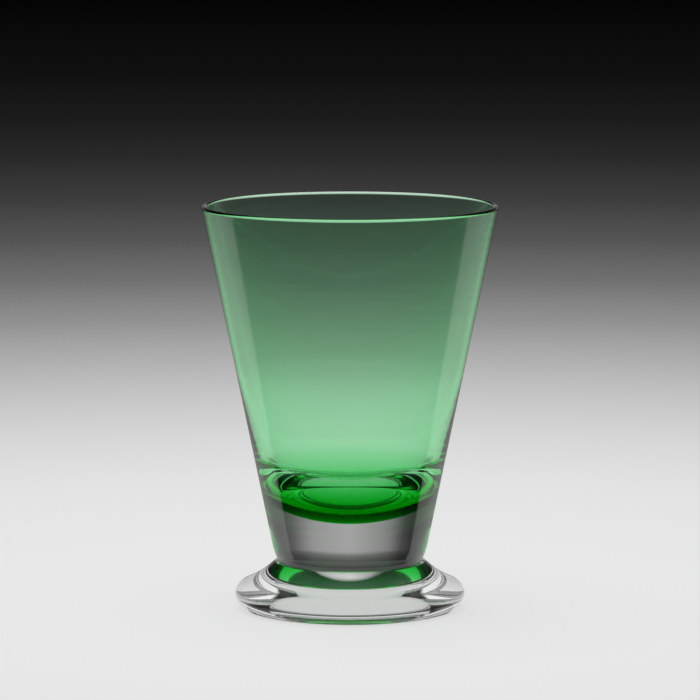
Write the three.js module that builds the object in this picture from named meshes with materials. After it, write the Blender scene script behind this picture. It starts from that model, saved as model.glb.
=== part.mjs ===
// A lowball tumbler of cased glass: a green cup inside a clear one, set hot on a clear spread foot.
// Millimetres, +Z up, origin at the centre of the ring the foot stands on.
import * as THREE from "three";

// Whole glass
const glassHeight = 116.6;
const rimRadius = 42.5;
const turnSegments = 72;

// Walls of the bowl, measured straight across from the axis
const wallLeanDegrees = 11.7;
const wallThickness = 1.6;
const greenWallThickness = 0.6;
const wallLean = THREE.MathUtils.degToRad(wallLeanDegrees);
const wallTaper = Math.tan(wallLean);
const rimRounding = (wallThickness / 2) * Math.cos(wallLean);

// Heights on the axis, from the crease above the foot up to the cup's floor
const neckHeight = 13.8;
const clearBaseThickness = 13.8;
const greenFloorThickness = 2.3;
const greenBottomHeight = neckHeight + clearBaseThickness;
const cupFloorHeight = greenBottomHeight + greenFloorThickness;

// Inside of the cup: a crowned floor that turns up into the wall
const cupFloorRise = 5.7;
const cupCornerRadius = 8.2;

// Underside of the green cup, a deeper dish that hangs in the clear base
const greenBottomRise = 7.4;
const greenCornerRadius = 8;

// Belly at the bottom of the bowl, which curls in to the crease
const bellyHeight = 4.9;
const bellyRadius = 18.4;

// Foot: a narrow shoulder at the crease, a hollow sweep and a round edge
const shoulderWidth = 1.1;
const shoulderDrop = 0.15;
const footSweepRadius = 27.5;
const footRadius = 33.1;
const footEdgeRadius = 4;

// Underside of the foot: the flat ring it stands on, and the recess inside the ring
const restRingWidth = 4.5;
const recessEdgeRadius = 1.4;
const recessWallLeanDegrees = 5;
const recessWallLean = THREE.MathUtils.degToRad(recessWallLeanDegrees);
const recessHeight = 7;
const recessCornerRadius = 2.4;
const recessCrown = 0.45;

const crownSteps = 8;
const cornerSteps = 7;
const bellySteps = 5;
const rimSteps = 5;
const sweepSteps = 6;
const footEdgeSteps = 10;
const recessSteps = 5;

function point(radius, height) {
  return new THREE.Vector2(radius, height);
}

// Points of an arc about a centre, both ends included, angles in radians.
function arc(centre, radius, from, to, steps) {
  const points = [];
  for (let i = 0; i <= steps; i += 1) {
    const angle = from + ((to - from) * i) / steps;
    points.push(point(centre.x + radius * Math.cos(angle), centre.y + radius * Math.sin(angle)));
  }
  return points;
}

// Radius of a leaning wall at a height, for a wall set in from the outside of the bowl.
function wallRadius(setIn, height) {
  const middle = rimRadius - rimRounding - wallTaper * (glassHeight - rimRounding - height);
  return middle + wallThickness / 2 - setIn;
}

// A dish from the axis to the wall: a crown that climbs by a rise, then a corner tangent to the wall.
function dish(setIn, bottom, rise, corner) {
  const climb = rise + corner;
  const cornerAcross = wallRadius(setIn, bottom + climb) - corner / Math.cos(wallLean);
  const cornerCentre = point(cornerAcross, bottom + climb);
  const crown = (cornerAcross ** 2 + climb ** 2 - corner ** 2) / (2 * rise);
  const meet = Math.atan2(climb - crown, cornerAcross);
  const crownArc = arc(point(0, bottom + crown), crown, -Math.PI / 2, meet, crownSteps);
  crownArc[0].x = 0;
  const cornerArc = arc(cornerCentre, corner, meet, -wallLean, cornerSteps);
  return crownArc.concat(cornerArc.slice(1));
}

// The rounded rim. The share is 1 at the outside of the wall and -1 at the inside.
function rimArc(fromShare, toShare, steps) {
  const centre = point(rimRadius - rimRounding, glassHeight - rimRounding);
  return arc(centre, rimRounding, Math.acos(fromShare) - wallLean, Math.acos(toShare) - wallLean, steps);
}

function reversed(points) {
  return points.slice().reverse();
}

// The share of the wall at which the green cup meets the clear one.
const seamShare = (2 * greenWallThickness) / wallThickness - 1;
const cupInside = dish(wallThickness, cupFloorHeight, cupFloorRise, cupCornerRadius);
const greenOutside = dish(
  wallThickness - greenWallThickness,
  greenBottomHeight,
  greenBottomRise,
  greenCornerRadius,
);

function greenLiningProfile() {
  const rim = rimArc(seamShare, -1, rimSteps);
  return greenOutside.concat(rim, reversed(cupInside));
}

// The belly leaves the wall without a break and ends in the crease at the neck.
const bellyTopHeight = neckHeight + bellyHeight;
const bellyCentre = point(
  wallRadius(0, bellyTopHeight) - bellyRadius * Math.cos(wallLean),
  bellyTopHeight + bellyRadius * Math.sin(wallLean),
);
const bellyTurn = Math.asin((bellyCentre.y - neckHeight) / bellyRadius);
const belly = arc(bellyCentre, bellyRadius, -bellyTurn, -wallLean, bellySteps);
const neckRadius = belly[0].x;

function clearCasingProfile() {
  const rim = rimArc(1, seamShare, rimSteps);
  return [point(0, neckHeight), ...belly, ...rim, ...reversed(greenOutside)];
}

// The sweep starts at the shoulder and touches the round edge from outside.
function footProfile() {
  const shoulder = point(neckRadius + shoulderWidth, neckHeight - shoulderDrop);
  const edgeCentre = point(footRadius - footEdgeRadius, footEdgeRadius);
  const across = shoulder.clone().sub(edgeCentre);
  const reach = footSweepRadius + footEdgeRadius;
  const share = (reach ** 2 - footSweepRadius ** 2 - across.lengthSq()) / (2 * footSweepRadius);
  const aim = across.angle() - Math.acos(share / across.length());
  const sweepCentre = point(
    shoulder.x + footSweepRadius * Math.cos(aim),
    shoulder.y + footSweepRadius * Math.sin(aim),
  );
  const touch = Math.atan2(edgeCentre.y - sweepCentre.y, edgeCentre.x - sweepCentre.x);
  const edge = arc(edgeCentre, footEdgeRadius, -Math.PI / 2, touch + Math.PI, footEdgeSteps);
  const sweep = arc(sweepCentre, footSweepRadius, touch, aim - Math.PI, sweepSteps);
  const top = [point(neckRadius, neckHeight), point(0, neckHeight)];
  return [...footRecess(), ...edge, ...sweep.slice(1), ...top];
}

// The recess, from its crown on the axis down to the ring the glass stands on.
function footRecess() {
  const ringInside = footRadius - footEdgeRadius - restRingWidth;
  const edgeCentre = point(ringInside, recessEdgeRadius);
  const edgeEnd = recessWallLean - Math.PI;
  const edge = arc(edgeCentre, recessEdgeRadius, edgeEnd, -Math.PI / 2, recessSteps);
  // The corner's centre lies its own radius inside the leaning wall and below the ceiling.
  const cornerHeight = recessHeight - recessCornerRadius;
  const wallRise = cornerHeight + recessCornerRadius * Math.sin(recessWallLean) - edge[0].y;
  const wallTop = edge[0].x - wallRise * Math.tan(recessWallLean);
  const cornerCentre = point(wallTop - recessCornerRadius * Math.cos(recessWallLean), cornerHeight);
  const corner = arc(cornerCentre, recessCornerRadius, Math.PI / 2, recessWallLean, recessSteps);
  const crownRadius = (cornerCentre.x ** 2 + recessCrown ** 2) / (2 * recessCrown);
  const spread = Math.asin(cornerCentre.x / crownRadius);
  const crownCentre = point(0, recessHeight + recessCrown - crownRadius);
  const ceiling = arc(crownCentre, crownRadius, Math.PI / 2, Math.PI / 2 - spread, recessSteps);
  ceiling[0].x = 0;
  return [...ceiling, ...corner.slice(1), ...edge];
}

function turned(name, profile, material) {
  const geometry = new THREE.LatheGeometry(profile, turnSegments);
  geometry.rotateX(Math.PI / 2);
  const mesh = new THREE.Mesh(geometry, material);
  mesh.name = name;
  return mesh;
}

const greenGlass = new THREE.MeshStandardMaterial({ color: 0x5fbf7c, roughness: 0.04, metalness: 0 });
const bowlGlass = new THREE.MeshStandardMaterial({ color: 0xdfe6e2, roughness: 0.04, metalness: 0 });
const footGlass = new THREE.MeshStandardMaterial({ color: 0xdbe3de, roughness: 0.05, metalness: 0 });

const glass = new THREE.Group();
glass.name = "lowball_glass";
glass.add(turned("green_lining", greenLiningProfile(), greenGlass));
glass.add(turned("clear_casing", clearCasingProfile(), bowlGlass));
glass.add(turned("foot", footProfile(), footGlass));

export default glass;
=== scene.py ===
# %% [markdown]
# # A footed tumbler of cased glass
#
# This lesson dresses a lowball glass. The real one is blown in three gathers: a green cup, a clear
# casing round it that is thick at the base, and a clear foot that is spread while it is soft. The three
# are fused, so light doesn't see where one ends and the next begins. It only sees the colour change.
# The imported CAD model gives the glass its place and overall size, and is hidden by the finer meshes.

# %% Load the frame
import math

import bmesh
import bpy
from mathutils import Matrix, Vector


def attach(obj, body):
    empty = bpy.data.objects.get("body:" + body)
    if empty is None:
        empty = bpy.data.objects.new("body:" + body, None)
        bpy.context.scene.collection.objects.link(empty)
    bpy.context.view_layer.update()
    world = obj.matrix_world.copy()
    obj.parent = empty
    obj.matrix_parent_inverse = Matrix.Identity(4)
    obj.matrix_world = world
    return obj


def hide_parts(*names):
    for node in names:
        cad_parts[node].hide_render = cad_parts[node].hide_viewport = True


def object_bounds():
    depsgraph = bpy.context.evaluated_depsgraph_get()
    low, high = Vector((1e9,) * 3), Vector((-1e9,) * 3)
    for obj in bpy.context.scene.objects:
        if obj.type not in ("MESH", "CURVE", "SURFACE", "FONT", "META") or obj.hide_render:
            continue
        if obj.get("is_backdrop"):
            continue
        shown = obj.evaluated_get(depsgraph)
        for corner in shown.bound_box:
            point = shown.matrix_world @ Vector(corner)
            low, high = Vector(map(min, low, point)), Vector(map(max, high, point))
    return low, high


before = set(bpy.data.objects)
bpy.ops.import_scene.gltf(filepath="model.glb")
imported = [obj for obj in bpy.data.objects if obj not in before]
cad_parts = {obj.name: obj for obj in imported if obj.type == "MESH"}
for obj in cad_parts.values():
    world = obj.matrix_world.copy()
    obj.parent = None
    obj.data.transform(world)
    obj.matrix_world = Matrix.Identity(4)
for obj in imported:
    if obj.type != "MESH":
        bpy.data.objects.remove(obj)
cad_low, cad_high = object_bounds()
scene = bpy.context.scene
print("CAD box in mm:", [round(1000 * (b - a), 1) for a, b in zip(cad_low, cad_high)])

# %% [markdown]
# ## Sizes
#
# The sizes are those of the glass as it would be measured with callipers, in millimetres. The height and
# the rim come from the frame, so the dressed glass can't drift away from the CAD model. The rest are the
# walls, the cup and the foot, each written once.

# %% Sizes of the bowl
MM = 0.001
MILLILITRE = 1e-6
glass_height = (cad_high.z - cad_low.z) / MM
rim_radius = (cad_high.x - cad_low.x) / 2 / MM
wall_lean = math.radians(11.7)
wall_thickness = 1.6
green_wall = 0.6
rim_rounding = wall_thickness / 2 * math.cos(wall_lean)
print("height", round(glass_height, 2), "rim radius", round(rim_radius, 2))

# %% Sizes of the cup
wall_at_swell = 1.45
swell_top_height = 70.0
swell_bottom_height = 45.0
swell_lean = math.radians(16.5)
cup_corner_radius = 10.3
cup_floor_rise = 7.6
green_floor = 2.7
print("the cup's wall swells over", swell_top_height - swell_bottom_height, "mm of height")

# %% Sizes of the base, the neck and the foot
neck_height = 13.8
belly_top_height = 18.7
belly_radius = 18.4
shoulder_width = 1.1
shoulder_drop = 0.15
foot_sweep_radius = 27.5
foot_radius = 33.1
foot_edge_radius = 4.0
rest_ring_width = 4.5
recess_edge_radius = 1.4
recess_wall_lean = math.radians(5)
recess_height = 7.0
recess_corner_radius = 2.4
recess_crown = 0.45
print("the foot is", 2 * foot_radius, "mm wide and meets the bowl", neck_height, "mm up")

# %% [markdown]
# ## Drawing the outlines
#
# A blown and turned glass is a body of revolution, so every shape starts as half an outline in the XZ
# plane. A curve with a Screw modifier could do the same, but plain arcs keep every radius in plain sight.
# A straight stretch gets extra points close to its ends: smooth shading blends the normals of
# neighbouring faces, and on glass one long face would bend the light as if the wall were curved all the
# way.

# %% Arcs
ARC_STEP = math.radians(2.5)


def arc(centre, radius, start, end, least):
    """Points of an arc in the XZ plane, both ends included, angles in radians, in a least number of steps."""
    steps = max(least, math.ceil(abs(end - start) / ARC_STEP))
    turns = [start + (end - start) * i / steps for i in range(steps + 1)]
    return [(centre[0] + radius * math.cos(a), centre[1] + radius * math.sin(a)) for a in turns]


print("an arc has a point at least every", math.degrees(ARC_STEP), "degrees")

# %% Straight stretches
STRAIGHT_STEPS = 10
END_MARGIN = 0.12
LARGEST_END_SHARE = 0.2
SHORTEST_STRAIGHT = 0.3
SAME_POINT = 1e-6


def straight(start, end):
    """Points between two ends, with one more close to either end."""
    near = min(END_MARGIN / math.dist(start, end), LARGEST_END_SHARE)
    inner = [near + (1 - 2 * near) * i / STRAIGHT_STEPS for i in range(1, STRAIGHT_STEPS)]
    return [tuple(a + (b - a) * s for a, b in zip(start, end)) for s in [near, *inner, 1 - near]]


def joined(*parts):
    """One outline from several, with straight stretches where they don't meet."""
    outline = list(parts[0])
    for part in parts[1:]:
        gap = math.dist(outline[-1], part[0])
        if gap > SHORTEST_STRAIGHT:
            outline += straight(outline[-1], part[0])
        outline += part[1:] if gap < SAME_POINT else part
    return outline


# %% The leaning wall
def wall_radius(set_in, height):
    """Radius of the wall at a height, set in from the outside of the bowl."""
    middle = rim_radius - rim_rounding - math.tan(wall_lean) * (glass_height - rim_rounding - height)
    return middle + wall_thickness / 2 - set_in


print("outside of the bowl at the neck:", round(wall_radius(0, neck_height), 2), "mm from the axis")

# %% [markdown]
# ## The shape of the cup
#
# The cup's wall is straight for its upper half. Below, it swells inwards in a very slow arc, turns through
# a corner and ends in a deep crown. The swell matters: once the wall is a wedge, light that enters close to
# the side of the glass is caught between its two faces and never comes out. That is the dark line which
# draws the edge of a real tumbler. The green keeps its thickness round the corner and grows at the floor,
# so one function draws both of its sides.

# %% The cup from the axis to its straight wall
FLOOR_STEPS = 60
SWELL_STEPS = 30
CUP_CORNER_STEPS = 30


def cup(grown, deeper):
    """Outline of the cup, grown outwards all over and made deeper at the floor."""
    swell = (swell_top_height - swell_bottom_height) / (math.sin(swell_lean) - math.sin(wall_lean))
    top = wall_radius(wall_at_swell, swell_top_height)
    swell_centre = (top - swell * math.cos(wall_lean), swell_top_height + swell * math.sin(wall_lean))
    side = arc(swell_centre, swell + grown, -swell_lean, -wall_lean, SWELL_STEPS)
    inwards = swell - cup_corner_radius
    corner_centre = (
        swell_centre[0] + inwards * math.cos(swell_lean),
        swell_centre[1] - inwards * math.sin(swell_lean),
    )
    corner = cup_corner_radius + grown
    bottom = corner_centre[1] - cup_corner_radius - cup_floor_rise - deeper
    drop = corner_centre[1] - bottom
    crown = (corner_centre[0]**2 + drop**2 - corner**2) / (2 * (drop - corner))
    meet = math.atan2(drop - crown, corner_centre[0])
    floor = arc((0, bottom + crown), crown, -math.pi / 2, meet, FLOOR_STEPS)
    floor[0] = (0, floor[0][1])
    print("floor at", round(bottom, 2), "mm, crown radius", round(crown, 1), "mm")
    return joined(floor, arc(corner_centre, corner, meet, -swell_lean, CUP_CORNER_STEPS), side)


cup_inside = cup(0.0, 0.0)
green_outside = cup(green_wall, green_floor)

# %% [markdown]
# ## The rim
#
# The rim is cut and then melted round in the flame, which makes it half a circle. The green and the clear
# glass both reach it, so it is drawn once and split where their seam comes up through the wall.

# %% The fire-polished rim
RIM_STEPS = 12


def rim_arc(from_share, to_share):
    """Part of the rim's half circle. The share is 1 at the outside of the wall and -1 at the inside."""
    centre = (rim_radius - rim_rounding, glass_height - rim_rounding)
    start, end = (math.acos(share) - wall_lean for share in (from_share, to_share))
    return arc(centre, rim_rounding, start, end, RIM_STEPS)


seam_share = 2 * green_wall / wall_thickness - 1
green_rim = rim_arc(seam_share, -1)
clear_rim = rim_arc(1, seam_share)
print("the seam comes up", round(green_wall, 2), "mm from the inside of the rim")

# %% [markdown]
# ## Turning the outlines
#
# `bmesh.ops.spin` turns an edge chain about Z, as a lathe would. A full turn needs `use_merge`, or the seam
# stays open. While turning, each face notes whether it meets air. Where two gathers are fused there is no
# surface to see, so the material makes those faces clear by this note. The piece stays a closed body.

# %% Spin
TURN_STEPS = 256
SEAM_GAP = 0.01


def turn(mesh, outline, meets_air):
    """Spins an outline in millimetres about Z and notes on its faces whether they meet air."""
    note = mesh.faces.layers.float.get("meets_air") or mesh.faces.layers.float.new("meets_air")
    before = set(mesh.faces)
    verts = [mesh.verts.new((radius * MM, 0, height * MM)) for radius, height in outline]
    edges = [mesh.edges.new(pair) for pair in zip(verts, verts[1:])]
    bmesh.ops.spin(
        mesh, geom=verts + edges, cent=(0, 0, 0), axis=(0, 0, 1), dvec=(0, 0, 0), angle=2 * math.pi,
        steps=TURN_STEPS, use_merge=True, use_normal_flip=False, use_duplicate=False,
    )
    for face in mesh.faces:
        if face not in before:
            face[note] = 1.0 if meets_air else 0.0


# %% Finish a piece
CREASE = math.radians(30)
DOUBLES_REACH = 1e-7


def finish_piece(name, mesh, node):
    """Makes an object of a turned mesh and lets it stand for its CAD node."""
    bmesh.ops.remove_doubles(mesh, verts=mesh.verts, dist=DOUBLES_REACH)
    bmesh.ops.recalc_face_normals(mesh, faces=mesh.faces)
    data = bpy.data.meshes.new(name)
    mesh.to_mesh(data)
    print(name, len(data.polygons), "faces, volume", round(mesh.calc_volume() / MILLILITRE, 2), "ml")
    mesh.free()
    data.shade_smooth()
    data.set_sharp_from_angle(angle=CREASE)
    piece = bpy.data.objects.new(name, data)
    scene.collection.objects.link(piece)
    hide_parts(node)
    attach(piece, "root")
    return piece


# %% [markdown]
# ## The green cup
#
# It is the first gather: thin in the wall, thicker at the bottom, where it hangs in the clear base. Its
# fused side is set in by a hundredth of a millimetre, so that its faces and the casing's never lie in
# the same place.

# %% Turn the green cup
mesh = bmesh.new()
fused_side = [(max(0.0, radius - SEAM_GAP), height + SEAM_GAP) for radius, height in green_outside]
turn(mesh, joined(fused_side, green_rim[:1]), meets_air=False)
turn(mesh, joined(green_rim, cup_inside[::-1]), meets_air=True)
green_cup = finish_piece("green_cup", mesh, "green_lining")

# %% [markdown]
# ## The clear casing
#
# The second gather. Outside it runs straight down the wall, then bellies in over the last few
# millimetres, which leaves the crease above the foot. Its inside is the green cup's outline again, run
# backwards, so the two can't part.

# %% The bowl's belly
BELLY_STEPS = 32

belly_centre_height = belly_top_height + belly_radius * math.sin(wall_lean)
belly_centre_radius = wall_radius(0, belly_top_height) - belly_radius * math.cos(wall_lean)
belly_turn = math.asin((belly_centre_height - neck_height) / belly_radius)
belly_centre = (belly_centre_radius, belly_centre_height)
belly = arc(belly_centre, belly_radius, -belly_turn, -wall_lean, BELLY_STEPS)
neck_radius = belly[0][0]
print("neck radius", round(neck_radius, 2), "mm, lean there", round(math.degrees(belly_turn), 1), "degrees")

# %% Turn the casing
mesh = bmesh.new()
turn(mesh, joined(belly, clear_rim), meets_air=True)
turn(mesh, joined(clear_rim[-1:], green_outside[::-1]), meets_air=False)
turn(mesh, joined([(0, neck_height)], belly[:1]), meets_air=False)
clear_bowl = finish_piece("clear_bowl", mesh, "clear_casing")

# %% [markdown]
# ## The foot
#
# The last gather is pressed out with paddles. Its upper side is a shallow concave sweep from a narrow
# shoulder at the neck to the round edge. Below, a flat recess with a steep wall leaves a ring to stand
# on. The photo doesn't show the recess itself, but it shows its light: the pale outer half of the foot
# is the table, seen through that wall.

# %% Outline of the foot
FOOT_STEPS = 48

shoulder = (neck_radius + shoulder_width, neck_height - shoulder_drop)
round_centre = (foot_radius - foot_edge_radius, foot_edge_radius)
across, up = (shoulder[i] - round_centre[i] for i in (0, 1))
apart = math.hypot(across, up)
touching = (foot_sweep_radius + foot_edge_radius) ** 2
cosine = (touching - foot_sweep_radius**2 - apart**2) / (2 * foot_sweep_radius * apart)
aim = math.atan2(up, across) - math.acos(cosine)
sweep_centre = (
    shoulder[0] + foot_sweep_radius * math.cos(aim),
    shoulder[1] + foot_sweep_radius * math.sin(aim),
)
touch = math.atan2(round_centre[1] - sweep_centre[1], round_centre[0] - sweep_centre[0])
foot_edge = arc(round_centre, foot_edge_radius, -math.pi / 2, touch + math.pi, FOOT_STEPS)
sweep = arc(sweep_centre, foot_sweep_radius, touch, aim - math.pi, FOOT_STEPS)
start_fall, end_fall = 90 - math.degrees(aim), 90 + math.degrees(touch)
print("the foot falls at", round(start_fall, 1), "degrees, then", round(end_fall, 1))

# %% Outline of the recess
RECESS_EDGE_STEPS = 16
RECESS_CORNER_STEPS = 24
CEILING_STEPS = 30
QUARTER_TURN = math.pi / 2


def recess():
    """The underside from the axis to the ring: a crowned ceiling, a corner, a leaning wall, a round edge."""
    ring_inside = (foot_radius - foot_edge_radius - rest_ring_width, recess_edge_radius)
    edge_start = recess_wall_lean - math.pi
    edge = arc(ring_inside, recess_edge_radius, edge_start, -QUARTER_TURN, RECESS_EDGE_STEPS)
    corner_height = recess_height - recess_corner_radius
    wall_rise = corner_height + recess_corner_radius * math.sin(recess_wall_lean) - edge[0][1]
    wall_top = edge[0][0] - wall_rise * math.tan(recess_wall_lean)
    centre = (wall_top - recess_corner_radius * math.cos(recess_wall_lean), corner_height)
    corner = arc(centre, recess_corner_radius, QUARTER_TURN, recess_wall_lean, RECESS_CORNER_STEPS)
    crown = (centre[0]**2 + recess_crown**2) / (2 * recess_crown)
    spread = math.asin(centre[0] / crown)
    crown_centre = (0, recess_height + recess_crown - crown)
    ceiling = arc(crown_centre, crown, QUARTER_TURN, QUARTER_TURN - spread, CEILING_STEPS)
    ceiling[0] = (0, ceiling[0][1])
    return joined(ceiling, corner, edge)


# %% Turn the foot
mesh = bmesh.new()
foot_neck = (neck_radius, neck_height - SEAM_GAP)
turn(mesh, joined(recess(), foot_edge, sweep, [foot_neck]), meets_air=True)
turn(mesh, joined([foot_neck], [(0, neck_height - SEAM_GAP)]), meets_air=False)
spread_foot = finish_piece("spread_foot", mesh, "foot")

# %% [markdown]
# ## Building nodes by script
#
# Materials, the table and the room all need sums and ramps. In the editor they are drawn by hand. Here
# three helpers add them, so that a line of the script reads like the sum that it stands for.

# %% Sums
def fed(tree, socket, value):
    """Links a socket to a node's output, or sets it to a plain value."""
    if hasattr(value, "is_output"):
        tree.links.new(value, socket)
    else:
        socket.default_value = value


def math_node(tree, operation, first, second=0.0):
    """One math node, returning its output."""
    node = tree.nodes.new("ShaderNodeMath")
    node.operation = operation
    fed(tree, node.inputs[0], first)
    fed(tree, node.inputs[1], second)
    return node.outputs[0]


# %% Ramps and mixes
def grey_ramp(tree, value, stops):
    """A ramp of greys over a value. Stops are (value, grey)."""
    low, high = stops[0][0], stops[-1][0]
    scaled = tree.nodes.new("ShaderNodeMapRange")
    scaled.inputs["From Min"].default_value = low
    scaled.inputs["From Max"].default_value = high
    tree.links.new(value, scaled.inputs["Value"])
    ramp = tree.nodes.new("ShaderNodeValToRGB")
    elements = ramp.color_ramp.elements
    while len(elements) < len(stops):
        elements.new(0.5)
    for element, (place, grey) in zip(elements, stops):
        element.position = (place - low) / (high - low)
        element.color = (grey, grey, grey, 1)
    tree.links.new(scaled.outputs[0], ramp.inputs[0])
    return ramp.outputs[0]


def mix(tree, share, first, second):
    """Mixes two shader nodes by a share of the second."""
    mixed = tree.nodes.new("ShaderNodeMixShader")
    for socket, output in zip(mixed.inputs, (share, first.outputs[0], second.outputs[0])):
        tree.links.new(output, socket)
    return mixed


# %% [markdown]
# ## Traces of hand work
#
# No blown glass is quite even. Its faces wave by about a hundredth of a millimetre, and the tools leave
# rings that are fainter still, because the glass turns under them. Both are one node group, which gives a
# normal from heights in metres, so each gather can have its own amounts. The ring that a glass stands on
# is scuffed by tables, so the group also gives a patchy roughness for the lowest part.

# %% Sockets of the group
hand_work = bpy.data.node_groups.new("hand_work", "ShaderNodeTree")
for name, direction in (("Ripple", "INPUT"), ("Rings", "INPUT"), ("Normal", "OUTPUT"), ("Scuffs", "OUTPUT")):
    kind = "NodeSocketVector" if name == "Normal" else "NodeSocketFloat"
    hand_work.interface.new_socket(name, in_out=direction, socket_type=kind)
amounts = hand_work.nodes.new("NodeGroupInput")
results = hand_work.nodes.new("NodeGroupOutput")
place = hand_work.nodes.new("ShaderNodeTexCoord")
print("sockets:", [socket.name for socket in hand_work.interface.items_tree])

# %% Ripples and rings
RIPPLES_PER_METRE = 90.0
RIPPLE_DETAIL = 1.0
RING_SCALE = 110.0
RING_WANDER = 4.0
RING_WANDER_SCALE = 0.5

ripple = hand_work.nodes.new("ShaderNodeTexNoise")
ripple.inputs["Scale"].default_value = RIPPLES_PER_METRE
ripple.inputs["Detail"].default_value = RIPPLE_DETAIL
hand_work.links.new(place.outputs["Object"], ripple.inputs["Vector"])
rings = hand_work.nodes.new("ShaderNodeTexWave")
rings.bands_direction = "Z"
rings.inputs["Scale"].default_value = RING_SCALE
rings.inputs["Distortion"].default_value = RING_WANDER
rings.inputs["Detail Scale"].default_value = RING_WANDER_SCALE
hand_work.links.new(place.outputs["Object"], rings.inputs["Vector"])
height = math_node(
    hand_work, "ADD",
    math_node(hand_work, "MULTIPLY", ripple.outputs["Fac"], amounts.outputs["Ripple"]),
    math_node(hand_work, "MULTIPLY", rings.outputs["Fac"], amounts.outputs["Rings"]),
)
bump = hand_work.nodes.new("ShaderNodeBump")
bump.inputs["Distance"].default_value = 1.0
hand_work.links.new(height, bump.inputs["Height"])
hand_work.links.new(bump.outputs["Normal"], results.inputs["Normal"])
print("a ripple is about", round(1 / RIPPLES_PER_METRE / MM), "mm wide")

# %% Scuffs
SCUFF_TOP = 0.6 * MM
SCUFFS_PER_METRE = 900.0

parts = hand_work.nodes.new("ShaderNodeSeparateXYZ")
hand_work.links.new(place.outputs["Object"], parts.inputs[0])
low = math_node(hand_work, "LESS_THAN", parts.outputs["Z"], SCUFF_TOP)
scratches = hand_work.nodes.new("ShaderNodeTexNoise")
scratches.inputs["Scale"].default_value = SCUFFS_PER_METRE
hand_work.links.new(place.outputs["Object"], scratches.inputs["Vector"])
patches = math_node(hand_work, "MULTIPLY", low, scratches.outputs["Fac"])
hand_work.links.new(patches, results.inputs["Scuffs"])
print("scuffs reach", round(SCUFF_TOP / MM, 1), "mm up the foot's edge")

# %% [markdown]
# ## Glass
#
# Each piece is one Principled shader with full transmission. The green isn't painted on. It could be a
# base colour, but then thin and thick glass would look alike. It is a volume that takes red and blue from
# the light for every millimetre it crosses, so the thick bottom turns deep green by itself.

# %% The glass material
GLASS_IOR = 1.52
WHITE = (1, 1, 1, 1)


def glass(name, piece, ripple, rings, scuffed=False):
    """A clear glass whose fused faces can't be seen. Ripple and rings are heights in metres."""
    material = bpy.data.materials.new(name)
    material.use_nodes = True
    tree = material.node_tree
    shader = tree.nodes["Principled BSDF"]
    shader.inputs["Base Color"].default_value = WHITE
    shader.inputs["Roughness"].default_value = 0.0
    shader.inputs["IOR"].default_value = GLASS_IOR
    shader.inputs["Transmission Weight"].default_value = 1.0
    note = tree.nodes.new("ShaderNodeAttribute")
    note.attribute_name = "meets_air"
    tree.links.new(note.outputs["Fac"], shader.inputs["Alpha"])
    marks = tree.nodes.new("ShaderNodeGroup")
    marks.node_tree = hand_work
    marks.inputs["Ripple"].default_value = ripple
    marks.inputs["Rings"].default_value = rings
    tree.links.new(marks.outputs["Normal"], shader.inputs["Normal"])
    if scuffed:
        tree.links.new(marks.outputs["Scuffs"], shader.inputs["Roughness"])
    piece.data.materials.append(material)
    print(name, "on", piece.name)
    return material


# %% Three glasses
GREEN_KEPT = (0.0, 0.86, 0.25, 1)
GREEN_DENSITY = 700

green_glass = glass("green_glass", green_cup, ripple=1.2e-5, rings=2e-6)
bowl_glass = glass("bowl_glass", clear_bowl, ripple=0.8e-5, rings=1.5e-6)
foot_glass = glass("foot_glass", spread_foot, ripple=2e-5, rings=1e-6, scuffed=True)

nodes, links = green_glass.node_tree.nodes, green_glass.node_tree.links
tint = nodes.new("ShaderNodeVolumeAbsorption")
tint.inputs["Color"].default_value = GREEN_KEPT
tint.inputs["Density"].default_value = GREEN_DENSITY
links.new(tint.outputs["Volume"], nodes["Material Output"].inputs["Volume"])

# %% [markdown]
# ## Camera
#
# The photo was taken with a long lens from a little above the rim. The distance and the pitch are those
# that put the outline of rim, bowl and foot where the photo has them.

# %% Camera
FRAME_PIXELS = 700
FOCAL_PIXELS = 5000
CAMERA_DISTANCE = 1.436
CAMERA_PITCH = math.radians(7.154)
AIM_HEIGHT = 0.0748
CLIP_NEAR = 0.01
CLIP_FAR = 20

camera = bpy.data.objects.new("camera", bpy.data.cameras.new("camera"))
scene.collection.objects.link(camera)
camera.data.angle = 2 * math.atan(FRAME_PIXELS / 2 / FOCAL_PIXELS)
camera.location = (
    0,
    -CAMERA_DISTANCE * math.cos(CAMERA_PITCH),
    AIM_HEIGHT + CAMERA_DISTANCE * math.sin(CAMERA_PITCH),
)
camera.rotation_euler = (math.pi / 2 - CAMERA_PITCH, 0, 0)
camera.data.clip_start = CLIP_NEAR
camera.data.clip_end = CLIP_FAR
scene.camera = camera
print("field of view", round(math.degrees(camera.data.angle), 2), "degrees")

# %% [markdown]
# ## Table
#
# A pale table that fades to black in the distance, as light falls off behind a product on a long sweep.
# A photo of a sweep could be used, but a colour ramp over the distance from the glass does the same. What
# the camera sees, also through the glass, is mostly the table's own tone. The rest of it, and all that any
# other light meets, is an ordinary matt surface, which takes the shadow. Mirrored rays see a painted
# reflection instead: the table glows with painted light behind the glass and is painted dark in front of it.

# %% Tones of the table
TABLE_FADE = [
    (0.0, 0.835), (0.1, 0.82), (0.25, 0.765), (0.35, 0.68), (0.45, 0.57), (0.57, 0.43), (0.70, 0.285),
    (0.86, 0.163), (1.04, 0.09), (1.25, 0.047), (1.5, 0.0235), (1.8, 0.0115), (2.2, 0.0055), (3.2, 0.0012),
]
TABLE_REACH = 6.0
TABLE_SIDES = 96
TABLE_TINT = (0.984, 1.0, 0.986)
OWN_TONE = 0.75
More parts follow.
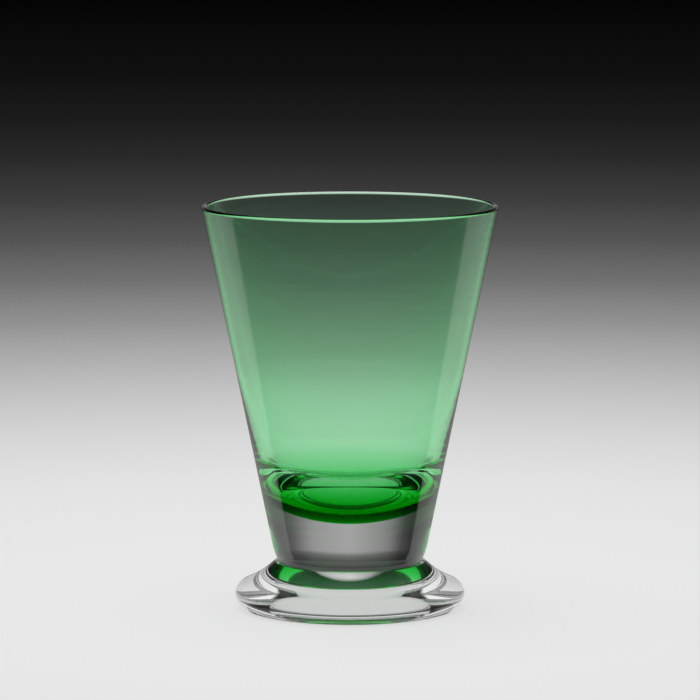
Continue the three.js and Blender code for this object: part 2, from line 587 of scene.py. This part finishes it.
# Painted reflection: the tone that mirrored rays see. It is painted dark in front of the glass and to its
# sides, and painted bright behind it, a little dimmer straight behind.
PAINTED_GLEAM_AHEAD = 0.019
PAINTED_GLEAM_START = [(0.0, 0.02), (0.24, 0.02), (0.31, 1.0), (1.0, 1.0)]
PAINTED_GLEAM = [(-1.0, 1.1), (0.3, 1.1), (0.71, 0.8), (0.85, 0.55), (1.0, 0.4)]

# %% Table top
mesh = bmesh.new()
bmesh.ops.create_circle(mesh, cap_ends=True, radius=TABLE_REACH, segments=TABLE_SIDES)
data = bpy.data.meshes.new("table")
mesh.to_mesh(data)
mesh.free()
table = bpy.data.objects.new("table", data)
scene.collection.objects.link(table)
table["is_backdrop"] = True
print("the table reaches", TABLE_REACH, "m from the glass")

# %% Table material
table_top = bpy.data.materials.new("table_top")
table_top.use_nodes = True
tree = table_top.node_tree
tree.nodes.clear()
place = tree.nodes.new("ShaderNodeTexCoord")
distance = tree.nodes.new("ShaderNodeVectorMath")
distance.operation = "LENGTH"
tree.links.new(place.outputs["Object"], distance.inputs[0])
tone = grey_ramp(tree, distance.outputs["Value"], TABLE_FADE)
matt = tree.nodes.new("ShaderNodeBsdfDiffuse")
tree.links.new(tone, matt.inputs["Color"])
tinted = tree.nodes.new("ShaderNodeVectorMath")
tinted.operation = "MULTIPLY"
tinted.inputs[1].default_value = TABLE_TINT
tree.links.new(tone, tinted.inputs[0])
own = tree.nodes.new("ShaderNodeEmission")
tree.links.new(tinted.outputs[0], own.inputs["Color"])

# %% What mirrored rays see of it: a painted reflection
parts = tree.nodes.new("ShaderNodeSeparateXYZ")
tree.links.new(place.outputs["Object"], parts.inputs[0])
sideways = math_node(tree, "ABSOLUTE", parts.outputs["X"])
steep = math_node(tree, "DIVIDE", math_node(tree, "ADD", parts.outputs["Y"], PAINTED_GLEAM_AHEAD), sideways)
behind = math_node(tree, "DIVIDE", parts.outputs["Y"], distance.outputs["Value"])
painted_shine = math_node(tree, "MULTIPLY", grey_ramp(tree, steep, PAINTED_GLEAM_START), grey_ramp(tree, behind, PAINTED_GLEAM))
# A glow that only mirrored rays see: painted light on the table, not a lamp.
painted_gleam = tree.nodes.new("ShaderNodeEmission")
tree.links.new(math_node(tree, "MULTIPLY", tone, painted_shine), painted_gleam.inputs["Color"])

# %% Which ray sees what
ray = tree.nodes.new("ShaderNodeLightPath")
glossy, transmitted = ray.outputs["Is Glossy Ray"], ray.outputs["Is Transmission Ray"]
mirrored = math_node(tree, "GREATER_THAN", glossy, transmitted)
seen = math_node(tree, "MAXIMUM", ray.outputs["Is Camera Ray"], transmitted)
lit = mix(tree, mirrored, matt, painted_gleam)
mixed = mix(tree, math_node(tree, "MULTIPLY", seen, OWN_TONE), lit, own)
surface = tree.nodes.new("ShaderNodeOutputMaterial")
tree.links.new(mixed.outputs[0], surface.inputs["Surface"])
data.materials.append(table_top)
print("the table's material has", len(tree.nodes), "nodes")

# %% [markdown]
# ## Room
#
# Glass is a mirror and a lens, so it needs a room to show. Softboxes could be built round it, but their
# edges would cut hard lines into the wall. The room is painted on the world: its back glows just above
# the table's far edge and again high up, it darkens to the sides, and the side behind the camera stays
# dim. Light that only falls on the table comes from an even, plain sky.

# %% Tones of the room
RISE = [
    (-1.0, 0.001), (0.0, 0.05), (0.017, 0.45), (0.07, 0.37), (0.105, 0.18), (0.156, 0.10), (0.242, 0.05),
    (0.375, 0.05), (0.574, 0.10), (0.866, 0.8), (1.0, 0.12),
]
ROUND = [
    (-1.0, 0.3), (-0.91, 0.35), (-0.67, 0.2), (-0.5, 0.3), (-0.36, 0.62), (0.0, 1.0), (0.36, 0.85),
    (0.48, 0.71), (0.64, 0.6), (0.86, 0.15), (1.0, 0.3),
]
FRONT = [(-1.0, 0.001), (0.0, 0.07), (0.5, 0.04), (0.866, 0.08), (1.0, 0.12)]
FRONT_TO_BACK = [(-1.0, 0.0), (-0.1, 0.0), (0.1, 1.0), (1.0, 1.0)]
PLAIN_LIGHT = 0.9
JUST_OVER_ONE = 1.0001

# %% Directions
world = bpy.data.worlds.new("studio")
scene.world = world
world.use_nodes = True
tree = world.node_tree
tree.nodes.clear()
place = tree.nodes.new("ShaderNodeTexCoord")
parts = tree.nodes.new("ShaderNodeSeparateXYZ")
tree.links.new(place.outputs["Generated"], parts.inputs[0])
rise_squared = math_node(tree, "MULTIPLY", parts.outputs["Z"], parts.outputs["Z"])
level_length = math_node(tree, "SQRT", math_node(tree, "SUBTRACT", JUST_OVER_ONE, rise_squared))
across = math_node(tree, "DIVIDE", parts.outputs["X"], level_length)
away = math_node(tree, "DIVIDE", parts.outputs["Y"], level_length)

# %% Light of the room
back = math_node(
    tree, "MULTIPLY", grey_ramp(tree, parts.outputs["Z"], RISE), grey_ramp(tree, across, ROUND)
)
front = grey_ramp(tree, parts.outputs["Z"], FRONT)
turned = grey_ramp(tree, away, FRONT_TO_BACK)
level = math_node(
    tree, "ADD",
    math_node(tree, "MULTIPLY", back, turned),
    math_node(tree, "MULTIPLY", front, math_node(tree, "SUBTRACT", 1.0, turned)),
)
shown = tree.nodes.new("ShaderNodeBackground")
tree.links.new(level, shown.inputs["Color"])
plain = tree.nodes.new("ShaderNodeBackground")
plain.inputs["Color"].default_value = (PLAIN_LIGHT, PLAIN_LIGHT, PLAIN_LIGHT, 1)
ray = tree.nodes.new("ShaderNodeLightPath")
seen = math_node(tree, "MAXIMUM", ray.outputs["Is Camera Ray"], ray.outputs["Is Glossy Ray"])
seen = math_node(tree, "MAXIMUM", seen, ray.outputs["Is Transmission Ray"])
surface = tree.nodes.new("ShaderNodeOutputWorld")
tree.links.new(mix(tree, seen, plain, shown).outputs[0], surface.inputs["Surface"])
print("the room's world has", len(tree.nodes), "nodes")

# %% [markdown]
# ## Softbox
#
# One large softbox hangs above the glass and lays a soft shadow on the table. The glass itself doesn't
# show it, since its mirror image would be a white patch that isn't in the photo.

# %% Softbox
SOFTBOX_SIZE = 1.0
SOFTBOX_PLACE = (-0.35, 0.2, 1.4)
SOFTBOX_LIGHT = 3.0

light = bpy.data.lights.new("softbox", "AREA")
light.size = SOFTBOX_SIZE
light.energy = SOFTBOX_LIGHT
softbox = bpy.data.objects.new("softbox", light)
softbox.location = SOFTBOX_PLACE
softbox.rotation_euler = (-Vector(SOFTBOX_PLACE)).to_track_quat("-Z", "Y").to_euler()
softbox.visible_glossy = False
softbox.visible_transmission = False
scene.collection.objects.link(softbox)
print("softbox of", SOFTBOX_LIGHT, "W,", round(Vector(SOFTBOX_PLACE).length, 2), "m from the glass")

# %% [markdown]
# ## Render settings and sizes
#
# Light crosses many faces of glass, so the paths get room for many bounces. The view transform is the
# plain one, and the sizes of the CAD model and the dressed glass are printed, one at the start and one at the
# end.

# %% View and bounces
PATH_BOUNCES = 32
MIRROR_BOUNCES = 16
CLEAR_FACES = 64

scene.view_settings.view_transform = "Standard"
scene.cycles.max_bounces = PATH_BOUNCES
scene.cycles.transmission_bounces = PATH_BOUNCES
scene.cycles.glossy_bounces = MIRROR_BOUNCES
scene.cycles.transparent_max_bounces = CLEAR_FACES
print("a ray may bounce", PATH_BOUNCES, "times")

# %% Print the dressed box
low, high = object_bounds()
print("dressed box in mm:", [round(1000 * (b - a), 1) for a, b in zip(low, high)])
